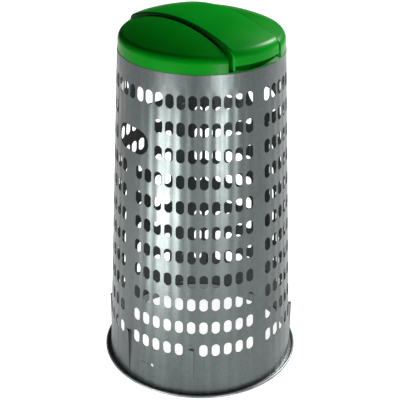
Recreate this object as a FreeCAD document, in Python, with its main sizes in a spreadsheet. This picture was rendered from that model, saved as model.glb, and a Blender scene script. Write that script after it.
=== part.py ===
import FreeCAD, Part
import math
import os

import Sketcher

from FreeCAD import Placement, Rotation, Vector

# A conical street litter bin: a perforated galvanised sheet body with an open foot, and a moulded
# lid with a hinged centre flap.
# Frame: origin on the ground at the centre of the foot, +Z up, -Y towards the flap's grip,
# +Y towards its hinge. Turns are counted about +Z from -Y. Everything is in millimetres.

doc = FreeCAD.newDocument("litter_bin")
sheet = doc.addObject("Spreadsheet::Sheet", "Sizes")

sizes = {
    # conical body
    "body_height": 815.0,
    "rim_radius": 194.5,
    "hip_radius": 234.5,
    "sheet_gauge": 1.5,
    "hem_depth": 12.0,
    "shell_turn": -2.0,
    # perforation
    "column_count": 48.0,
    "row_pitch": 62.5,
    "slot_width": 19.5,
    "slot_height": 33.5,
    "lowest_slot": 96.0,
    "hole_margin": 12.0,
    "grip_width": 105.0,
    "grip_height": 60.0,
    "grip_drop": 176.5,
    # nesting stops pressed out of the sheet near the foot
    "stop_top": 130.5,
    "stop_bottom": 8.0,
    "stop_width": 15.0,
    "stop_throw": 7.0,
    "stop_start": 0.05,
    "stop_offset": 1.6,
    # square relief hole and its two slits
    "relief_side": 7.0,
    "relief_height": 63.5,
    "relief_turn": -70.0,
    "slit_gap": 0.9,
    "slit_length": 34.0,
    # lap seam and its rivets
    "seam_turn": 153.75,
    "lap_width": 28.0,
    "lap_bite": 0.2,
    "rivet_radius": 2.4,
    "rivet_head": 5.0,
    "rivet_rise": 2.2,
    "rivet_play": 0.15,
    "shank_play": 0.03,
    "rivet_count": 9.0,
    "rivet_end": 38.0,
    # foot ring
    "foot_lip": 13.0,
    "bead_radius": 3.2,
    "collar_height": 26.0,
    "collar_play": 0.2,
    # sack hoop and its brackets
    "hoop_wire": 4.0,
    "hoop_inset": 12.0,
    "hoop_drop": 35.0,
    "bracket_width": 20.0,
    "bracket_gauge": 2.0,
    "bracket_height": 27.0,
    "bracket_lip": 7.0,
    "bracket_play": 0.5,
    "lip_play": 0.4,
    "hoop_play": 0.1,
    # lid
    "lid_inset": 1.0,
    "lid_wall": 3.0,
    "lid_draft": 1.7,
    "side_corner": 35.5,
    "side_top": 82.0,
    "flap_corner": 45.5,
    "flap_top": 85.0,
    "shoulder_radius": 21.0,
    "edge_round": 4.0,
    "flap_half": 68.0,
    "channel_gap": 7.0,
    "deck_gauge": 3.0,
    "spigot_depth": 22.0,
    "spigot_gap": 1.5,
    "seat_width": 7.5,
    "mouth_margin": 12.0,
    "mouth_inset": 44.5,
    "coaming_height": 16.0,
    "lip_height": 15.0,
    "recess_height": 32.0,
    "recess_gauge": 4.0,
    "flap_play": 2.0,
    "flap_clear": 0.3,
    # hinge
    "hinge_inset": 9.5,
    "hinge_height": 16.0,
    "hinge_rod": 3.0,
    "hinge_boss": 6.5,
    "hinge_play": 0.08,
    "hinge_clear": 11.0,
    "hinge_wall": 26.0,
    "hinge_wall_gap": 18.0,
    "web_inset": 2.2,
    "web_drop": 8.0,
    "knuckle_width": 11.0,
    "knuckle_start": 22.0,
    "side_play": 0.4,
    "cap_radius": 5.2,
    "cap_width": 3.0,
}
for index, (alias, size) in enumerate(sizes.items()):
    cell = "A%d" % (index + 1)
    sheet.set(cell, repr(size))
    sheet.setAlias(cell, alias)
doc.recompute()


def size(alias):
    return float(sheet.get(alias))


def ref(text):
    """Turns {alias} into a reference to that cell of the sheet."""
    return text.replace("{", "Sizes.").replace("}", "")


def bind(thing, **formulas):
    for prop, formula in formulas.items():
        thing.setExpression(prop, ref(formula))


def put(thing, x="0", y="0", z="0"):
    for axis, formula in zip("xyz", (x, y, z)):
        if formula != "0":
            thing.setExpression("Placement.Base." + axis, ref(formula))


def origin_part(body, role):
    return [feature for feature in body.Origin.OriginFeatures if feature.Role == role][0]


# sketch and feature helpers
def outline(body, name, plane, points):
    """A closed outline; each point is a pair of formulas along the sketch's own two axes."""
    sketch = body.newObject("Sketcher::SketchObject", name)
    sketch.AttachmentSupport = (origin_part(body, plane), [""])
    sketch.MapMode = "FlatFace"
    count = len(points)
    spots = [Vector(90 + 60 * math.cos(2 * math.pi * i / count), 60 * math.sin(2 * math.pi * i / count), 0)
             for i in range(count)]
    for i in range(count):
        sketch.addGeometry(Part.LineSegment(spots[i], spots[(i + 1) % count]), False)
    for i in range(count):
        sketch.addConstraint(Sketcher.Constraint("Coincident", i, 2, (i + 1) % count, 1))
    for i, pair in enumerate(points):
        for kind, axis, formula in zip(("DistanceX", "DistanceY"), (-2, -1), pair):
            if formula == "0":
                sketch.addConstraint(Sketcher.Constraint("PointOnObject", i, 1, axis))
            else:
                spot = spots[i].x if kind == "DistanceX" else spots[i].y
                number = sketch.addConstraint(Sketcher.Constraint(kind, -1, 1, i, 1, spot))
                sketch.setExpression("Constraints[%d]" % number, ref(formula))
    return sketch


def turned(body, name, sketch, angle=None):
    """The outline turned about the body's vertical axis, all the way or through an angle."""
    feature = body.newObject("PartDesign::Revolution", name)
    feature.Profile = sketch
    feature.ReferenceAxis = (sketch, ["V_Axis"])
    feature.Angle = 360.0
    if angle:
        bind(feature, Angle=angle)
    sketch.Visibility = False
    return feature


def box(name, length, width, height, x, y, z):
    """A block from its corner, with every size and place a formula."""
    block = doc.addObject("Part::Box", name)
    bind(block, Length=length, Width=width, Height=height)
    put(block, x, y, z)
    return block


def rod(name, radius, length, x, y, z, axis="+z"):
    """A cylinder that starts at a point and runs along an axis."""
    bar = doc.addObject("Part::Cylinder", name)
    bind(bar, Radius=radius, Height=length)
    if axis == "+x":
        bar.Placement = Placement(Vector(0, 0, 0), Rotation(Vector(0, 1, 0), 90))
    put(bar, x, y, z)
    return bar


def cut(name, base, tool):
    result = doc.addObject("Part::Cut", name)
    result.Base = base
    result.Tool = tool
    return result


def common(name, base, tool):
    result = doc.addObject("Part::Common", name)
    result.Base = base
    result.Tool = tool
    return result


def fuse(name, shapes):
    result = doc.addObject("Part::MultiFuse", name)
    result.Shapes = shapes
    result.Refine = True
    return result


parts = []


def keep(thing, label):
    """Marks an object as one of the bin's pieces, under the name its file gets."""
    thing.Label = label
    parts.append(thing)
    return thing


# conical body
# the sheet narrows by this much for each millimetre of height
lean = "(({hip_radius} - {rim_radius}) / {body_height})"

blank = doc.addObject("PartDesign::Body", "shell_blank")
wall = outline(blank, "shell_section", "XZ_Plane", [
    ("{hip_radius} - {sheet_gauge} - %s * {sheet_gauge}" % lean, "{sheet_gauge}"),
    ("{hip_radius} - %s * {sheet_gauge}" % lean, "{sheet_gauge}"),
    ("{rim_radius}", "{body_height}"),
    ("{rim_radius} - 2 * {sheet_gauge}", "{body_height}"),
    ("{rim_radius} - 2 * {sheet_gauge} + %s * {hem_depth}" % lean, "{body_height} - {hem_depth}"),
    ("{rim_radius} - {sheet_gauge} + %s * {hem_depth}" % lean, "{body_height} - {hem_depth}"),
])
turned(blank, "shell_turning", wall)

lap = doc.addObject("PartDesign::Body", "lap_blank")
lap_angle = "({lap_width} / {rim_radius} * 180 / pi)"
lap_section = outline(lap, "lap_section", "XZ_Plane", [
    ("{hip_radius} - %s * {sheet_gauge} - {lap_bite}" % lean, "{sheet_gauge}"),
    ("{hip_radius} - %s * {sheet_gauge} + {sheet_gauge}" % lean, "{sheet_gauge}"),
    ("{rim_radius} + {sheet_gauge}", "{body_height}"),
    ("{rim_radius} - {lap_bite}", "{body_height}"),
])
turned(lap, "lap_turning", lap_section, lap_angle)
lap.Placement = Placement(Vector(0, 0, 0), Rotation(Vector(0, 0, 1), 1))
bind(lap, **{"Placement.Rotation.Angle": "{seam_turn} - 90 - %s / 2" % lap_angle})

height = size("body_height")
gauge = size("sheet_gauge")
lean_value = (size("hip_radius") - size("rim_radius")) / height
pitch_angle = 360.0 / size("column_count")


def radius_at(level):
    return size("rim_radius") + lean_value * (height - level)


def spun(shape, angle):
    """A copy turned about the bin's axis, counted from the front."""
    copy = shape.copy()
    copy.rotate(Vector(0, 0, 0), Vector(0, 0, 1), angle)
    return copy


def slot(width, tall, level):
    """A bar through the front of the wall with a round-ended section, upright or lying down."""
    a = min(width, tall) / 2
    reach = abs(tall - width) / 2
    along = Vector(0, 0, reach) if tall > width else Vector(reach, 0, 0)
    side = Vector(a, 0, 0) if tall > width else Vector(0, 0, -a)
    tip = along.normalize() * a if reach else Vector(0, 0, a)
    along = tip * (reach / a)
    middle = Vector(0, 0, level)
    edges = [
        Part.LineSegment(middle - side - along, middle - side + along).toShape(),
        Part.Arc(middle - side + along, middle + along + tip, middle + side + along).toShape(),
        Part.LineSegment(middle + side + along, middle + side - along).toShape(),
        Part.Arc(middle + side - along, middle - along - tip, middle - side - along).toShape(),
    ]
    face = Part.Face(Part.Wire(edges))
    face.translate(Vector(0, -radius_at(level) * 0.85, 0))
    return face.extrude(Vector(0, -radius_at(level) * 0.3, 0))


def grip_angles():
    """The hand holes are at the sides and the back."""
    return [90.0, 180.0, 270.0]


def stop_angles():
    """Eight places round the foot, less the one at the front."""
    return [45.0 * step for step in range(1, 8)]


def slot_rows(angle):
    """The heights of the slots in the column at an angle: none in a blank column or at the seam, none
    at a hand hole and none where a nesting stop reaches up into the row."""
    tall = size("slot_height")
    grip_level = height - size("grip_drop")
    grip_reach = size("grip_width") / 2 + size("hole_margin")
    from_grip = min(abs(angle - place) for place in grip_angles())
    from_seam = abs(angle - size("seam_turn"))
    from_stop = min(abs(angle - place) for place in stop_angles())
    rows = []
    for row in range(1, int((height - size("lowest_slot")) / size("row_pitch")) + 1):
        level = height - row * size("row_pitch")
        over_grip = row == 1 and from_grip < pitch_angle / 2
        blank_column = (min(angle % 90, 90 - angle % 90) < pitch_angle / 2
                        or from_seam < pitch_angle * 0.75)
        sideways = radius_at(level) * math.sin(math.radians(min(from_grip, 90))) - size("slot_width") / 2
        beside_grip = (abs(level - grip_level) < (tall + size("grip_height")) / 2 + size("hole_margin")
                       and sideways < grip_reach)
        beside_stop = level - tall / 2 < size("stop_top") and from_stop < pitch_angle / 2
        if over_grip or not (blank_column or beside_grip or beside_stop):
            rows.append(level)
    return tuple(rows)


def wall_stave(rows):
    """One column's share of the plain wall at the front, with its slots cut."""
    half = math.radians(pitch_angle / 2)
    reach = size("hip_radius") * 1.5
    corners = [Vector(0, 0, 0), Vector(-reach * math.sin(half), -reach * math.cos(half), 0),
               Vector(reach * math.sin(half), -reach * math.cos(half), 0)]
    wedge = Part.Face(Part.makePolygon(corners + corners[:1])).extrude(Vector(0, 0, height + 1))
    stave = blank.Shape.common(wedge)
    if rows:
        stave = stave.cut([slot(size("slot_width"), size("slot_height"), level) for level in rows])
    return stave


def slotted_wall():
    """The whole wall, put together from staves so that each pattern of slots is cut only once."""
    cut_once = {}
    staves = []
    for column in range(int(size("column_count"))):
        angle = column * pitch_angle
        rows = slot_rows(angle)
        if rows not in cut_once:
            cut_once[rows] = wall_stave(rows)
        staves.append(spun(cut_once[rows], angle))
    joined = staves[0].fuse(staves[1:])
    return joined.removeSplitter()


def stop_point(sideways, level, out):
    """A point of a nesting stop at the front: sideways on the wall, and out from its outer face."""
    outer = radius_at(level) + out
    angle = sideways / radius_at(level)
    return Vector(outer * math.sin(angle), -outer * math.cos(angle), level)


def stop_rib():
    """A nesting stop's outer faces: it rises from its slanting fold to the steep side at its right."""
    low, high, wide, throw = size("stop_bottom"), size("stop_top"), size("stop_width"), size("stop_throw")
    sections = []
    for share in (size("stop_start"), 1.0):
        level = low + (high - low) * share
        out = throw * share
        reach = wide * share
        corners = [stop_point(-reach, level, -gauge / 2), stop_point(0, level, -gauge / 2),
                   stop_point(0, level, out), stop_point(-reach, level, 0)]
        sections.append(Part.makePolygon(corners + corners[:1]))
    return Part.makeLoft(sections, True, True)


def stop_hollow():
    """The inside of a nesting stop, which is open to the bin: the sheet keeps its gauge all round it."""
    low, high, wide, throw = size("stop_bottom"), size("stop_top"), size("stop_width"), size("stop_throw")
    skin = gauge * math.hypot(wide, throw) / wide
    sections = []
    for share in (2.5 * gauge / wide, 1.0 - gauge / (high - low)):
        level = low + (high - low) * share
        out = throw * share
        reach = wide * share
        corners = [stop_point(-reach, level, -3 * gauge), stop_point(-gauge, level, -3 * gauge),
                   stop_point(-gauge, level, out * (1 - gauge / reach) - skin),
                   stop_point(-reach, level, -skin)]
        sections.append(Part.makePolygon(corners + corners[:1]))
    return Part.makeLoft(sections, True, True)


def relief_cuts():
    """The square relief hole with a slit to one side and one down, at the front."""
    level, side, gap, run = (size("relief_height"), size("relief_side"), size("slit_gap"),
                             size("slit_length"))
    near = radius_at(level) - 12
    square = Part.makeBox(side, 24, side, Vector(-side / 2, -near - 24, -side / 2))
    square.rotate(Vector(0, 0, 0), Vector(0, 1, 0), 45)
    square.translate(Vector(0, 0, level))
    across = Part.makeBox(run, 24, gap, Vector(-run, -near - 24, level - gap / 2))
    down = Part.makeBox(gap, 24, run, Vector(-gap / 2, -near - 24, level - run))
    return square.fuse([across, down])


def rivet_levels():
    first = size("rivet_end")
    count = int(size("rivet_count"))
    step = (height - 2 * first) / (count - 1)
    return [first + step * number for number in range(count)]


def rivet_bars():
    bars = []
    for level in rivet_levels():
        bar = Part.makeCylinder(size("rivet_radius"), 30, Vector(0, 15 - radius_at(level), level),
                                Vector(0, -1, 0))
        bars.append(spun(bar, size("seam_turn")))
    return bars


doc.recompute()
slotted = doc.addObject("Part::Feature", "slotted_wall")
slotted.Shape = slotted_wall()
whole = doc.addObject("Part::Fuse", "wall_and_lap")
whole.Base = slotted
whole.Tool = lap

openings = doc.addObject("Part::Feature", "shell_openings")
grips = [spun(slot(size("grip_width"), size("grip_height"), height - size("grip_drop")), place)
         for place in grip_angles()]
stop_shift = size("stop_offset")
hollows = [spun(stop_hollow(), place + stop_shift) for place in stop_angles()]
openings.Shape = Part.makeCompound(grips + hollows + rivet_bars()
                                   + [spun(relief_cuts(), size("relief_turn"))])
pierced = cut("shell_pierced", whole, openings)

stop = stop_rib().cut(stop_hollow())
ribs = doc.addObject("Part::Feature", "nesting_stops")
ribs.Shape = Part.makeCompound([spun(stop, place + stop_shift) for place in stop_angles()])
shell = doc.addObject("Part::Fuse", "body_shell")
shell.Base = pierced
shell.Tool = ribs
shell.Placement = Placement(Vector(0, 0, 0), Rotation(Vector(0, 0, 1), 1))
bind(shell, **{"Placement.Rotation.Angle": "{shell_turn}"})
keep(shell, "body_shell")

# foot ring
# an inner collar, a flat flange that the wall stands on, and a rolled edge
ring = doc.addObject("PartDesign::Body", "foot_ring_body")
hip_inside = "{hip_radius} - {sheet_gauge} - %s * {sheet_gauge} - {collar_play}" % lean
ring_section = outline(ring, "ring_section", "XZ_Plane", [
    (hip_inside + " - {sheet_gauge}", "0"),
    ("{hip_radius} + {foot_lip} - {bead_radius}", "0"),
    ("{hip_radius} + {foot_lip} - {bead_radius}", "{sheet_gauge}"),
    (hip_inside, "{sheet_gauge}"),
    (hip_inside + " - %s * ({collar_height} - {sheet_gauge})" % lean, "{collar_height}"),
    (hip_inside + " - {sheet_gauge} - %s * ({collar_height} - {sheet_gauge})" % lean, "{collar_height}"),
])
turned(ring, "ring_turning", ring_section)
bead = doc.addObject("Part::Torus", "foot_bead")
bind(bead, Radius1="{hip_radius} + {foot_lip} - {bead_radius}", Radius2="{bead_radius}")
put(bead, z="{bead_radius}")
keep(fuse("foot_ring", [ring, bead]), "foot_ring")

# seam rivets
for number, level in enumerate(rivet_levels()):
    rivet = doc.addObject("PartDesign::Body", "rivet_body_%d" % (number + 1))
    rivet_section = outline(rivet, "rivet_section_%d" % (number + 1), "XZ_Plane", [
        ("0", "-{sheet_gauge} - {rivet_rise}"),
        ("{rivet_head} * 0.7", "-{sheet_gauge} - {rivet_rise}"),
        ("{rivet_head} * 0.9", "-{sheet_gauge} - {rivet_play}"),
        ("{rivet_radius} - {shank_play}", "-{sheet_gauge} - {rivet_play}"),
        ("{rivet_radius} - {shank_play}", "{sheet_gauge} + {rivet_play}"),
        ("{rivet_head}", "{sheet_gauge} + {rivet_play}"),
        ("{rivet_head} * 0.85", "{sheet_gauge} + {rivet_rise} * 0.55"),
        ("{rivet_head} * 0.45", "{sheet_gauge} + {rivet_rise}"),
        ("0", "{sheet_gauge} + {rivet_rise} * 1.12"),
    ])
    turned(rivet, "rivet_turning_%d" % (number + 1), rivet_section)
    turn = math.radians(size("seam_turn") + size("shell_turn"))
    tilt = math.degrees(math.atan(lean_value))
    out = Rotation(Vector(0, 0, 1), math.degrees(turn)).multiply(Rotation(Vector(1, 0, 0), 90 - tilt))
    reach = radius_at(level)
    rivet.Placement = Placement(Vector(reach * math.sin(turn), -reach * math.cos(turn), level), out)
    keep(rivet, "seam_rivet_%d" % (number + 1))

# sack hoop and brackets
hoop_radius = "({rim_radius} - {hoop_inset})"
hoop = doc.addObject("Part::Torus", "hoop_wire")
bind(hoop, Radius1=hoop_radius, Radius2="{hoop_wire}")
put(hoop, z="{body_height} - {hoop_drop} + {hoop_play}")
keep(hoop, "sack_hoop")

# the wall's inner face at the top of the bracket plates
wall_face = "({rim_radius} - {sheet_gauge} + %s * ({hoop_drop} - 18))" % lean
for number in range(4):
    tag = "_%d" % (number + 1)
    plate = box("bracket_plate" + tag, "{bracket_width}", "{bracket_gauge}", "{bracket_height}",
                "-{bracket_width} / 2", "-%s + {bracket_play}" % wall_face, "0")
    shelf = box("bracket_shelf" + tag, "{bracket_width}",
                "%s - %s + {hoop_wire} + {bracket_gauge}" % (wall_face, hoop_radius), "{bracket_gauge}",
                "-{bracket_width} / 2", "-%s + {bracket_play}" % wall_face, "0")
    lip = box("bracket_lip" + tag, "{bracket_width}", "{bracket_gauge}", "{bracket_lip}",
              "-{bracket_width} / 2", "-%s + {hoop_wire} + {lip_play}" % hoop_radius, "0")
    bracket = fuse("hoop_bracket" + tag, [plate, shelf, lip])
    bracket.Placement = Placement(Vector(0, 0, 0), Rotation(Vector(0, 0, 1), 45 + 90 * number))
    put(bracket, z="{body_height} - {hoop_drop} - {hoop_wire} - {bracket_gauge}")
    keep(bracket, "hoop_bracket" + tag)


# lid
# the lid is drawn on its own seat plane, which is the top edge of the wall
def dome(name, plane, wall_radius, corner, top, round_radius):
    """A solid cap: a drafted wall, a domed top and a rounded shoulder between them. The plane it is
    drawn on is one that later cuts leave out."""
    body = doc.addObject("PartDesign::Body", name)
    sketch = body.newObject("Sketcher::SketchObject", name + "_section")
    sketch.AttachmentSupport = (origin_part(body, plane), [""])
    sketch.MapMode = "FlatFace"
    start, end = Vector(180, 40, 0), Vector(0, 80, 0)
    rise = end.y - start.y
    big = (start.x ** 2 + rise ** 2) / (2 * rise)
    circle = Part.Circle(Vector(0, end.y - big, 0), Vector(0, 0, 1), big)
    first = math.atan2(start.y - end.y + big, start.x)
    lines = [Part.LineSegment(Vector(0, 0, 0), Vector(182, 0, 0)),
             Part.LineSegment(Vector(182, 0, 0), start),
             Part.ArcOfCircle(circle, first, math.pi / 2),
             Part.LineSegment(end, Vector(0, 0, 0))]
    sketch.addGeometry(lines, False)
    sketch.addConstraint([
        Sketcher.Constraint("Coincident", 0, 2, 1, 1),
        Sketcher.Constraint("Coincident", 1, 2, 2, 1),
        Sketcher.Constraint("Coincident", 2, 2, 3, 1),
        Sketcher.Constraint("Coincident", 3, 2, 0, 1),
        Sketcher.Constraint("Coincident", 0, 1, -1, 1),
        Sketcher.Constraint("PointOnObject", 0, 2, -1),
        Sketcher.Constraint("PointOnObject", 3, 1, -2),
        Sketcher.Constraint("PointOnObject", 2, 3, -2),
    ])
    for kind, line, end_point, value, formula in (
            ("DistanceX", 0, 2, 182, wall_radius), ("DistanceX", 1, 2, start.x, wall_radius + " - {lid_draft}"),
            ("DistanceY", 1, 2, start.y, corner), ("DistanceY", 3, 1, end.y, top)):
        number = sketch.addConstraint(Sketcher.Constraint(kind, -1, 1, line, end_point, value))
        sketch.setExpression("Constraints[%d]" % number, ref(formula))
    body_turning = turned(body, name + "_turning", sketch)
    doc.recompute()
    shoulder = [n + 1 for n, edge in enumerate(body_turning.Shape.Edges)
                if edge.BoundBox.XLength > 100 and edge.BoundBox.ZLength < 0.01
                and edge.BoundBox.ZMin > 1][0]
    rounding = body.newObject("PartDesign::Fillet", name + "_shoulder")
    rounding.Base = (body_turning, ["Edge%d" % shoulder])
    bind(rounding, Radius=round_radius)
    doc.recompute()
    return body


lid_radius = "{rim_radius} - {lid_inset}"
inner = "{rim_radius} - {lid_inset} - {lid_wall}"
side_outer = dome("side_outer", "YZ_Plane", lid_radius, "{side_corner}", "{side_top}", "{shoulder_radius}")
side_inner = dome("side_inner", "YZ_Plane", inner, "{side_corner} - {lid_wall}", "{side_top} - {lid_wall}",
                  "{shoulder_radius} - {lid_wall}")
flap_outer = dome("flap_outer", "XZ_Plane", lid_radius, "{flap_corner}", "{flap_top}", "{shoulder_radius}")
flap_inner = dome("flap_inner", "XZ_Plane", inner, "{flap_corner} - {lid_wall}", "{flap_top} - {lid_wall}",
                  "{shoulder_radius} - {lid_wall}")

far = "{rim_radius} + 20"
wide = "2 * ({rim_radius} + 20)"
channel = "({flap_half} + {channel_gap})"
mouth_half = "({flap_half} - {mouth_margin})"
mouth_reach = "({rim_radius} - {mouth_inset})"
inside_half = "({flap_half} - {lid_wall} - {flap_play})"


def side_half(name, dome_body, start, sign):
    """The part of a cap beyond a chord on one side."""
    reach = "({rim_radius} + 20 - %s)" % start
    corner = start if sign > 0 else "-({rim_radius} + 20)"
    return common(name, dome_body, box(name + "_block", reach, wide, "150", corner, "-(%s)" % far, "-1"))


def round_sides(name, solid):
    """The same solid with its flat, upright sides rounded into the skin above them."""
    doc.recompute()
    rims = [number + 1 for number, edge in enumerate(solid.Shape.Edges)
            if edge.BoundBox.XLength < 0.01 and edge.BoundBox.ZLength > 0.5]
    rounding = doc.addObject("Part::Fillet", name)
    rounding.Base = solid
    rounding.Edges = [(number, size("edge_round"), size("edge_round")) for number in rims]
    return rounding


frame_pieces = []
for side, sign in (("left", -1), ("right", 1)):
    solid = side_half("segment_" + side, side_outer, channel, sign)
    hollow = side_half("segment_hollow_" + side, side_inner, "(%s + {lid_wall})" % channel, sign)
    rounded = round_sides("segment_rounded_" + side, solid)
    frame_pieces.append(cut("segment_shell_" + side, rounded, hollow))

seat_outer = rod("seat_disc", lid_radius, "{deck_gauge}", "0", "0", "0")
seat_inner = rod("seat_hole", "%s - {seat_width}" % lid_radius, "{deck_gauge} + 2", "0", "0", "-1")
frame_pieces.append(cut("seat_ring", seat_outer, seat_inner))

spigot_radius = "({rim_radius} - 2 * {sheet_gauge} - {spigot_gap})"
spigot_outer = rod("spigot_disc", spigot_radius, "{spigot_depth} + 1", "0", "0", "-{spigot_depth}")
spigot_inner = rod("spigot_hole", "%s - {lid_wall}" % spigot_radius, "{spigot_depth} + 4", "0", "0",
                   "-{spigot_depth} - 1")
frame_pieces.append(cut("spigot", spigot_outer, spigot_inner))

deck_disc = rod("deck_disc", inner, "{deck_gauge}", "0", "0", "0")
deck_block = box("deck_block", "2 * %s + 2" % channel, wide, "{deck_gauge}", "-%s - 1" % channel,
                 "-(%s)" % far, "0")
deck = common("deck", deck_disc, deck_block)
mouth_coam = box("coaming_block", "2 * (%s + {lid_wall})" % mouth_half, "2 * (%s + {lid_wall})" % mouth_reach,
                 "{coaming_height}", "-%s - {lid_wall}" % mouth_half, "-%s - {lid_wall}" % mouth_reach, "0")
back_wall = box("hinge_wall_block", "2 * %s" % inside_half, "{lid_wall}", "{hinge_wall}", "-%s" % inside_half,
                "%s + {hinge_wall_gap}" % mouth_reach, "0")

recess = doc.addObject("PartDesign::Body", "recess_body")
recess_section = outline(recess, "recess_section", "YZ_Plane", [
    ("-(%s) + {recess_gauge}" % lid_radius, "{deck_gauge} - 0.5"),
    ("-(%s) + 2 * {recess_gauge}" % lid_radius, "{deck_gauge} - 0.5"),
    ("-%s" % mouth_reach, "{recess_height}"),
    ("-%s - {recess_gauge}" % mouth_reach, "{recess_height}"),
])
slope = recess.newObject("PartDesign::Pad", "recess_pad")
slope.Profile = recess_section
slope.Midplane = True
bind(slope, Length="2 * %s" % inside_half)

mouth_hole = box("mouth_block", "2 * %s" % mouth_half, "2 * %s" % mouth_reach, "120", "-%s" % mouth_half,
                 "-%s" % mouth_reach, "-60")

hinge_y = "({rim_radius} - {lid_inset} - {hinge_inset})"
lugs = []
knuckles = []
for side, sign in (("left", -1), ("right", 1)):
    lug_start = "({knuckle_start} + {knuckle_width} + {side_play})"
    lug_x = lug_start if sign > 0 else "-%s - {knuckle_width}" % lug_start
    lugs.append(rod("lug_eye_" + side, "{hinge_boss}", "{knuckle_width}", lug_x, hinge_y,
                    "{hinge_height}", "+x"))
    lugs.append(box("lug_post_" + side, "{knuckle_width}", "2 * {hinge_boss}", "{hinge_height}", lug_x,
                    "%s - {hinge_boss}" % hinge_y, "0.5"))
    knuckle_x = "{knuckle_start}" if sign > 0 else "-{knuckle_start} - {knuckle_width}"
    knuckles.append(rod("knuckle_eye_" + side, "{hinge_boss}", "{knuckle_width}", knuckle_x, hinge_y,
                        "{hinge_height}", "+x"))
    knuckles.append(box("knuckle_web_" + side, "{knuckle_width}", "{hinge_boss} + {hinge_inset} - {web_inset}",
                        "{flap_corner} - {hinge_height} - {web_drop}", knuckle_x, "%s - {hinge_boss}" % hinge_y,
                        "{hinge_height} + 0.5"))

rod_span = "({knuckle_start} + 2 * {knuckle_width} + {side_play})"
frame_solid = fuse("frame_solid", frame_pieces + [deck, mouth_coam, back_wall, recess] + lugs)
mouth_cut = cut("frame_open", frame_solid, mouth_hole)
frame_bore = rod("frame_bore", "{hinge_rod}", "2 * %s + 20" % rod_span, "-%s - 10" % rod_span, hinge_y,
                 "{hinge_height}", "+x")
frame = cut("lid_frame", mouth_cut, frame_bore)
put(frame, z="{body_height}")
keep(frame, "lid_frame")

band = common("band", flap_outer, box("band_block", "2 * {flap_half}", wide, "150", "-{flap_half}",
                                      "-(%s)" % far, "{deck_gauge} + {flap_clear}"))
band_hollow = common("band_hollow", flap_inner,
                     box("band_hollow_block", "2 * ({flap_half} - {lid_wall})", wide, "150",
                         "-({flap_half} - {lid_wall})", "-(%s)" % far, "-1"))
band_shell = cut("band_shell", round_sides("band_rounded", band), band_hollow)
front_cut = box("finger_recess", "2 * ({flap_half} - {lid_wall})", "80", "{lip_height} + 5",
                "-({flap_half} - {lid_wall})", "-(%s)" % far, "-5")
back_cut = box("hinge_recess", "2 * {flap_half} + 2", "60", "{hinge_height} + {hinge_clear} + 5",
               "-{flap_half} - 1", "%s - {hinge_boss}" % hinge_y, "-5")
trims = fuse("flap_trims", [front_cut, back_cut])
flap_trimmed = cut("flap_trimmed", band_shell, trims)
flap_solid = fuse("flap_solid", [flap_trimmed] + knuckles)
flap_bore = rod("flap_bore", "{hinge_rod} + {hinge_play}", "2 * %s + 20" % rod_span,
                "-%s - 10" % rod_span, hinge_y, "{hinge_height}", "+x")
flap = cut("lid_flap", flap_solid, flap_bore)
put(flap, z="{body_height}")
keep(flap, "lid_flap")

# hinge rod and its two push caps
pin = rod("hinge_rod_bar", "{hinge_rod}", "2 * (%s + {cap_width})" % rod_span,
          "-%s - {cap_width}" % rod_span, hinge_y, "{body_height} + {hinge_height}", "+x")
keep(pin, "hinge_rod")
for side, sign in (("left", -1), ("right", 1)):
    cap_x = rod_span if sign > 0 else "-%s - {cap_width}" % rod_span
    disc = rod("cap_disc_" + side, "{cap_radius}", "{cap_width}", cap_x, hinge_y, "{hinge_height}", "+x")
    hole = rod("cap_hole_" + side, "{hinge_rod}", "{cap_width} + 4", cap_x + " - 2", hinge_y,
               "{hinge_height}", "+x")
    cap = cut("rod_cap_" + side, disc, hole)
    put(cap, z="{body_height}")
    keep(cap, "rod_cap_" + side)

doc.recompute()

# check, then write
for thing in doc.Objects:
    if "Invalid" in thing.State or "Error" in thing.State:
        raise RuntimeError("%s did not recompute: %s" % (thing.Name, thing.State))
for thing in parts:
    if thing.Shape.isNull() or not thing.Shape.isValid():
        raise RuntimeError("%s has no valid shape" % thing.Label)
    if len(thing.Shape.Solids) != 1:
        raise RuntimeError("%s has %d solids" % (thing.Label, len(thing.Shape.Solids)))

os.makedirs("parts", exist_ok=True)
for thing in parts:
    thing.Shape.exportStep("parts/%s.step" % thing.Label)
    print("%-18s %10.1f mm3" % (thing.Label, thing.Shape.Volume))
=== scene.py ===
import math

import bpy
from mathutils import Matrix, Vector

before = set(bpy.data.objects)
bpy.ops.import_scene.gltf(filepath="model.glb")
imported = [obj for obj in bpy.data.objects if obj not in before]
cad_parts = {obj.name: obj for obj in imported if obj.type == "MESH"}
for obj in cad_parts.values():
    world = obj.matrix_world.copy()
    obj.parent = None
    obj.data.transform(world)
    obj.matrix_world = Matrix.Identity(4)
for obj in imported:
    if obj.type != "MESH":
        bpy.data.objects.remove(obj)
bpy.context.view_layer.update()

# a perforated galvanised street bin with a green hinged lid; metres, turns in degrees about +Z from -Y


# camera
cameraLook = {
    "azimuth": -41.5,       # where it stands, seen from above
    "distance": 2.212,      # from the bin's axis, level with the ground
    "height": 1.575,
    "pitch": 26.10,         # how far it looks down
    "roll": 0.315,
    "lens": 91.02,
    "shift": (-0.0026, -0.0689),
    "farClip": 50,
}


def standAt(azimuth, distance, height):
    turn = math.radians(azimuth)
    return Vector((math.sin(turn) * distance, -math.cos(turn) * distance, height))


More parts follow.
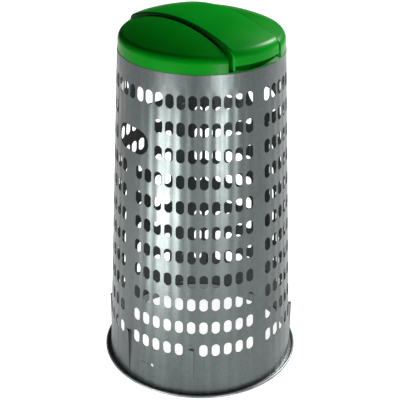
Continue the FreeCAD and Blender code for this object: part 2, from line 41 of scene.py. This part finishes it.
def makeCamera(look):
    data = bpy.data.cameras.new("studioCamera")
    data.lens = look["lens"]
    data.shift_x, data.shift_y = look["shift"]
    data.clip_end = look["farClip"]
    camera = bpy.data.objects.new("studioCamera", data)
    bpy.context.scene.collection.objects.link(camera)
    heading = Matrix.Rotation(math.radians(look["azimuth"]), 4, "Z")
    tilt = Matrix.Rotation(math.radians(90 - look["pitch"]), 4, "X")
    roll = Matrix.Rotation(math.radians(look["roll"]), 4, "Z")
    place = Matrix.Translation(standAt(look["azimuth"], look["distance"], look["height"]))
    camera.matrix_world = place @ heading @ tilt @ roll
    bpy.context.scene.camera = camera


makeCamera(cameraLook)
print("camera placed")


# node helpers
def addNode(tree, kind, inputs=None, **settings):
    node = tree.nodes.new(kind)
    for key, value in settings.items():
        setattr(node, key, value)
    for key, value in (inputs or {}).items():
        if isinstance(value, bpy.types.NodeSocket):
            tree.links.new(value, node.inputs[key])
        else:
            node.inputs[key].default_value = value
    return node


def vectorNode(tree, operation, first, second):
    return addNode(tree, "ShaderNodeVectorMath", {0: first, 1: second}, operation=operation)


def mathNode(tree, operation, first, second=0.0, third=0.0):
    return addNode(tree, "ShaderNodeMath", {0: first, 1: second, 2: third}, operation=operation).outputs[0]


def rangeNode(tree, value, low, high, newLow, newHigh):
    node = addNode(tree, "ShaderNodeMapRange", {0: value, 1: low, 2: high, 3: newLow, 4: newHigh})
    return node.outputs[0]


def mixColor(tree, share, first, second):
    node = addNode(tree, "ShaderNodeMix", data_type="RGBA", blend_type="MIX")
    for slot, value in ((0, share), (6, first), (7, second)):
        if isinstance(value, bpy.types.NodeSocket):
            tree.links.new(value, node.inputs[slot])
        elif slot:
            node.inputs[slot].default_value = (*value, 1.0)
        else:
            node.inputs[slot].default_value = value
    return node.outputs[2]


def objectPoint(tree, scale=(1, 1, 1)):
    point = addNode(tree, "ShaderNodeTexCoord").outputs["Object"]
    if scale == (1, 1, 1):
        return point
    return addNode(tree, "ShaderNodeMapping", {"Vector": point, "Scale": scale}).outputs[0]


def noiseNode(tree, point, scale, detail=3.0, roughness=0.5, distortion=0.0):
    node = addNode(tree, "ShaderNodeTexNoise", {"Vector": point, "Scale": scale, "Detail": detail,
                                                "Roughness": roughness, "Distortion": distortion})
    return node.outputs[0]


def newMaterial(name):
    material = bpy.data.materials.new(name)
    material.use_nodes = True
    return material, material.node_tree, material.node_tree.nodes["Principled BSDF"]


# galvanised steel: zinc spangle, rolling streaks that run up the sheet, dull patches and a fine grain
shellZinc = {
    "bright": (0.118, 0.136, 0.134),
    "dull": (0.080, 0.093, 0.091),
    "patina": (0.068, 0.077, 0.075),
    "roughness": (0.32, 0.44),
    "metallic": 0.92,
    "spangleScale": 150,
    "spangleShare": 0.18,
    "streakScale": (48, 48, 1.4),
    "streakShare": 0.9,
    "mixRange": (0.25, 0.85),
    "patchScale": 7.0,
    "patchRange": (0.52, 0.74),
    "patchShare": 0.45,
    "roughRange": (0.75, 1.25),
    "fluteCount": 48.0,          # the sheet creases a little along each column of slots
    "fluteTurn": -2.0,
    "fluteDepth": 0.00034,
    "fluteBlank": (0.10, 0.45),  # but not along the blank columns, a quarter of a turn apart
    "fluteTop": (0.762, 0.785),  # and not above the top row
    "grain": 0.000010,
    "grainScale": 900.0,
    "inside": (0.032, 0.037, 0.036),   # painted shade: a dark colour on the faces that look towards the bin's axis
    "insideRange": (-0.02, -0.06),
    "insideShare": 0.85,
}


def zincMaterial(name, look):
    material, tree, shader = newMaterial(name)
    point = objectPoint(tree)
    spangle = addNode(tree, "ShaderNodeTexVoronoi", {"Vector": point, "Scale": look["spangleScale"],
                                                     "Randomness": 1.0})
    facet = addNode(tree, "ShaderNodeSeparateColor", {0: spangle.outputs["Color"]}).outputs[0]
    streak = noiseNode(tree, objectPoint(tree, look["streakScale"]), 1.0, 4.0, 0.6)
    patch = noiseNode(tree, point, look["patchScale"], 4.0, 0.55, 0.4)
    share = mathNode(tree, "MULTIPLY", streak, look["streakShare"])
    share = mathNode(tree, "MULTIPLY_ADD", facet, look["spangleShare"], share)
    color = mixColor(tree, rangeNode(tree, share, *look["mixRange"], 0.0, 1.0), look["dull"], look["bright"])
    worn = rangeNode(tree, patch, *look["patchRange"], 0.0, look["patchShare"])
    color = mixColor(tree, worn, color, look["patina"])
    # painted shade: faces that look towards the bin's axis are mixed toward a dark colour, in place of the
    # shade inside the bin
    if look["inside"]:
        flat = vectorNode(tree, "MULTIPLY", point, (1, 1, 0)).outputs[0]
        facing = addNode(tree, "ShaderNodeTexCoord").outputs["Normal"]
        outward = vectorNode(tree, "DOT_PRODUCT", flat, facing).outputs["Value"]
        paintedShadeMask = rangeNode(tree, outward, *look["insideRange"], 0.0, look["insideShare"])
        color = mixColor(tree, paintedShadeMask, color, look["inside"])
    tree.links.new(color, shader.inputs["Base Color"])
    shader.inputs["Metallic"].default_value = look["metallic"]
    rough = mathNode(tree, "ADD", streak, patch)
    rough = rangeNode(tree, rough, *look["roughRange"], *look["roughness"])
    tree.links.new(rough, shader.inputs["Roughness"])
    height = mathNode(tree, "MULTIPLY", facet, look["grain"])
    fine = noiseNode(tree, point, look["grainScale"], 2.0)
    height = mathNode(tree, "MULTIPLY_ADD", fine, look["grain"] * 1.5, height)
    if look["fluteDepth"]:
        split = addNode(tree, "ShaderNodeSeparateXYZ", {0: point})
        toFront = mathNode(tree, "MULTIPLY", split.outputs[1], -1.0)
        turn = mathNode(tree, "ARCTAN2", split.outputs[0], toFront)
        turn = mathNode(tree, "SUBTRACT", turn, math.radians(look["fluteTurn"]))
        wave = mathNode(tree, "COSINE", mathNode(tree, "MULTIPLY", turn, look["fluteCount"]))
        quarter = mathNode(tree, "ABSOLUTE", mathNode(tree, "SINE", mathNode(tree, "MULTIPLY", turn, 2.0)))
        strength = rangeNode(tree, quarter, *look["fluteBlank"], 0.0, look["fluteDepth"])
        belowTop = rangeNode(tree, split.outputs[2], *look["fluteTop"], 1.0, 0.0)
        strength = mathNode(tree, "MULTIPLY", strength, belowTop)
        height = mathNode(tree, "MULTIPLY_ADD", wave, strength, height)
    bump = addNode(tree, "ShaderNodeBump", {"Height": height, "Distance": 1.0, "Strength": 1.0})
    tree.links.new(bump.outputs[0], shader.inputs["Normal"])
    return material


# moulded plastic: even green with a faint cloud, handling scuffs and a faint orange peel
lidGreen = {
    "color": (0.0, 0.198, 0.006),
    "shade": (0.0, 0.172, 0.005),
    "scuff": (0.003, 0.23, 0.018),
    "roughness": (0.28, 0.37),
    "roughRange": (0.3, 0.8),
    "gloss": 0.07,
    "cloudScale": 9.0,
    "cloudRange": (0.35, 0.65),
    "scuffScale": (30, 220, 60),
    "scuffRange": (0.66, 0.80),
    "scuffShare": 0.5,
    "peel": 0.000012,
    "peelScale": 420.0,
}


def plasticMaterial(name, look):
    material, tree, shader = newMaterial(name)
    point = objectPoint(tree)
    cloud = noiseNode(tree, point, look["cloudScale"], 3.0, 0.5)
    deep = rangeNode(tree, cloud, *look["cloudRange"], 0.0, 1.0)
    color = mixColor(tree, deep, look["shade"], look["color"])
    scratch = noiseNode(tree, objectPoint(tree, look["scuffScale"]), 1.0, 5.0, 0.7, 0.3)
    marks = rangeNode(tree, scratch, *look["scuffRange"], 0.0, look["scuffShare"])
    color = mixColor(tree, marks, color, look["scuff"])
    tree.links.new(color, shader.inputs["Base Color"])
    rough = mathNode(tree, "MULTIPLY_ADD", marks, 0.6, cloud)
    rough = rangeNode(tree, rough, *look["roughRange"], *look["roughness"])
    tree.links.new(rough, shader.inputs["Roughness"])
    shader.inputs["Specular IOR Level"].default_value = look["gloss"]
    peel = mathNode(tree, "MULTIPLY", noiseNode(tree, point, look["peelScale"], 2.0), look["peel"])
    bump = addNode(tree, "ShaderNodeBump", {"Height": peel, "Distance": 1.0, "Strength": 1.0})
    tree.links.new(bump.outputs[0], shader.inputs["Normal"])
    return material


def cladNode(name, material):
    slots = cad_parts[name].material_slots
    for slot in slots:
        slot.link = "DATA"
        slot.material = material


# painted light: a lighter, less metallic copy of the shell's zinc, so the foot ring and brackets read
# brighter than the same steel would under these lamps
footZincPaintedLight = dict(shellZinc, bright=(0.24, 0.26, 0.26), dull=(0.15, 0.165, 0.165), metallic=0.55,
                fluteDepth=0, inside=None)
wireZinc = dict(shellZinc, roughness=(0.24, 0.38), fluteDepth=0, spangleScale=260, inside=None)
# painted light: the flap is the same plastic as the lid frame, given a lighter copy of its green so it reads
# brighter
flapGreenPaintedLight = dict(lidGreen, color=(0.0, 0.235, 0.009), shade=(0.0, 0.208, 0.008))

shellMaterial = zincMaterial("shellZinc", shellZinc)
footMaterial = zincMaterial("footZincPaintedLight", footZincPaintedLight)
wireMaterial = zincMaterial("wireZinc", wireZinc)
lidMaterial = plasticMaterial("lidGreen", lidGreen)
flapMaterial = plasticMaterial("flapGreenPaintedLight", flapGreenPaintedLight)

cladNode("body_shell", shellMaterial)
cladNode("foot_ring", footMaterial)
cladNode("sack_hoop", wireMaterial)
cladNode("lid_frame", lidMaterial)
cladNode("lid_flap", flapMaterial)
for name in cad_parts:
    if name.startswith(("seam_rivet", "hinge_rod", "rod_cap")):
        cladNode(name, wireMaterial)
    if name.startswith("hoop_bracket"):
        cladNode(name, footMaterial)
print("steel and plastic finishes set")


# floor and studio light; a light's azimuth, distance and height are counted as the camera's are
floorLook = {
    "size": 14.0,
    "color": (0.42, 0.42, 0.42),
    "tint": (0.46, 0.46, 0.46),
    "roughness": 0.8,
    "glow": 0.92,           # the paper shines a little, so it stays white under the bin
}
lightLook = {
    "left": {"azimuth": -83, "distance": 0.95, "height": 0.22, "width": 0.38, "tall": 0.40, "power": 10.5},
    "front": {"azimuth": -17, "distance": 2.0, "height": 0.22, "width": 0.10, "tall": 0.40, "power": 18},
    "key": {"azimuth": 88, "distance": 3.5, "height": 3.25, "width": 1.3, "tall": 1.3, "power": 330},
}
worldLook = {"color": (1.0, 1.0, 1.0), "strength": 0.02, "backdrop": 1.0}


def makeFloor(look):
    half = look["size"] / 2
    mesh = bpy.data.meshes.new("studioFloor")
    corners = [(-half, -half, 0), (half, -half, 0), (half, half, 0), (-half, half, 0)]
    mesh.from_pydata(corners, [], [(0, 1, 2, 3)])
    floor = bpy.data.objects.new("studioFloor", mesh)
    bpy.context.scene.collection.objects.link(floor)
    material, tree, shader = newMaterial("floorPaper")
    cloud = noiseNode(tree, objectPoint(tree), 3.0, 2.0)
    tree.links.new(mixColor(tree, cloud, look["color"], look["tint"]), shader.inputs["Base Color"])
    shader.inputs["Roughness"].default_value = look["roughness"]
    shader.inputs["Emission Color"].default_value = (1, 1, 1, 1)
    shader.inputs["Emission Strength"].default_value = look["glow"]
    mesh.materials.append(material)


def makeLight(name, look, target=(0, 0, 0.5)):
    data = bpy.data.lights.new(name, "AREA")
    data.shape = "RECTANGLE"
    data.size, data.size_y = look["width"], look["tall"]
    data.energy = look["power"]
    light = bpy.data.objects.new(name, data)
    bpy.context.scene.collection.objects.link(light)
    light.location = standAt(look["azimuth"], look["distance"], look["height"])
    light.visible_camera = False
    light.rotation_euler = (Vector(target) - light.location).to_track_quat("-Z", "Y").to_euler()


def makeWorld(look):
    world = bpy.data.worlds.new("studioWorld")
    world.use_nodes = True
    back = world.node_tree.nodes["Background"]
    back.inputs[0].default_value = (*look["color"], 1.0)
    seen = addNode(world.node_tree, "ShaderNodeLightPath").outputs["Is Camera Ray"]
    strength = rangeNode(world.node_tree, seen, 0.0, 1.0, look["strength"], look["backdrop"])
    world.node_tree.links.new(strength, back.inputs[1])
    bpy.context.scene.world = world


makeFloor(floorLook)
for name, look in lightLook.items():
    makeLight(name + "Softbox", look)
makeWorld(worldLook)
bpy.context.scene.view_settings.view_transform = "Standard"
print("floor and lights placed")
